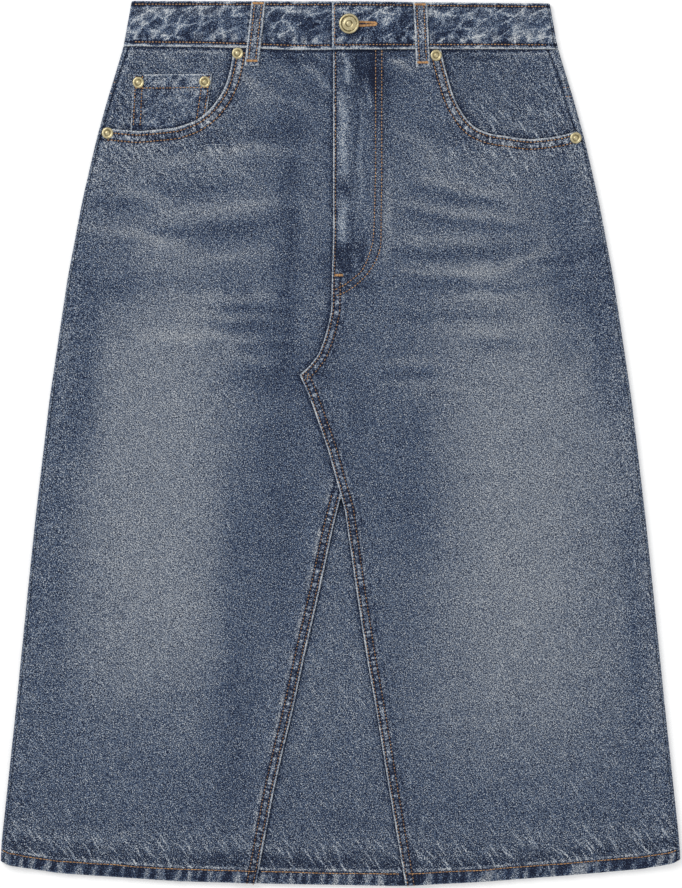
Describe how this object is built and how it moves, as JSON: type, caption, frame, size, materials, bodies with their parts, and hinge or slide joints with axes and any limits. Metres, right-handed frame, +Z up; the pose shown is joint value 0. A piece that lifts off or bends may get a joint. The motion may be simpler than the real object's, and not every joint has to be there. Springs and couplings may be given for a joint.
{
  "type": "denim skirt laid flat",
  "caption": "Straight midi denim skirt laid flat, front up: waistband with belt loops and shank button, fly, front pockets, coin pocket, and a triangular gusset let in between the legs.",
  "frame": {"origin": "middle of the skirt's outline, on the surface that it lies on", "axes": "+X to the viewer's right, +Y along the skirt to the waistband, +Z up out of the cloth through the button"},
  "size_m": [0.5638, 0.7338, 0.0108],
  "materials": {
    "denim": "washed mid-blue rigid denim, white worn seams, twill grain",
    "thread": "tan topstitch thread",
    "brass": "pale satin brass"
  },
  "bodies": {
    "root": {"waistband": "denim", "front_left": "denim", "front_right": "denim", "front_gusset": "denim", "pocket_facing_left": "denim", "pocket_facing_right": "denim", "coin_pocket": "denim", "back_left": "denim", "back_right": "denim", "back_yoke_left": "denim", "back_yoke_right": "denim", "belt_loop_left": "denim", "belt_loop_right": "denim", "button": "brass", "rivet_coin_left": "brass", "rivet_coin_right": "brass", "rivet_left_waist": "brass", "rivet_left_side": "brass", "rivet_right_waist": "brass", "rivet_right_side": "brass"}
  },
  "joints": []
}
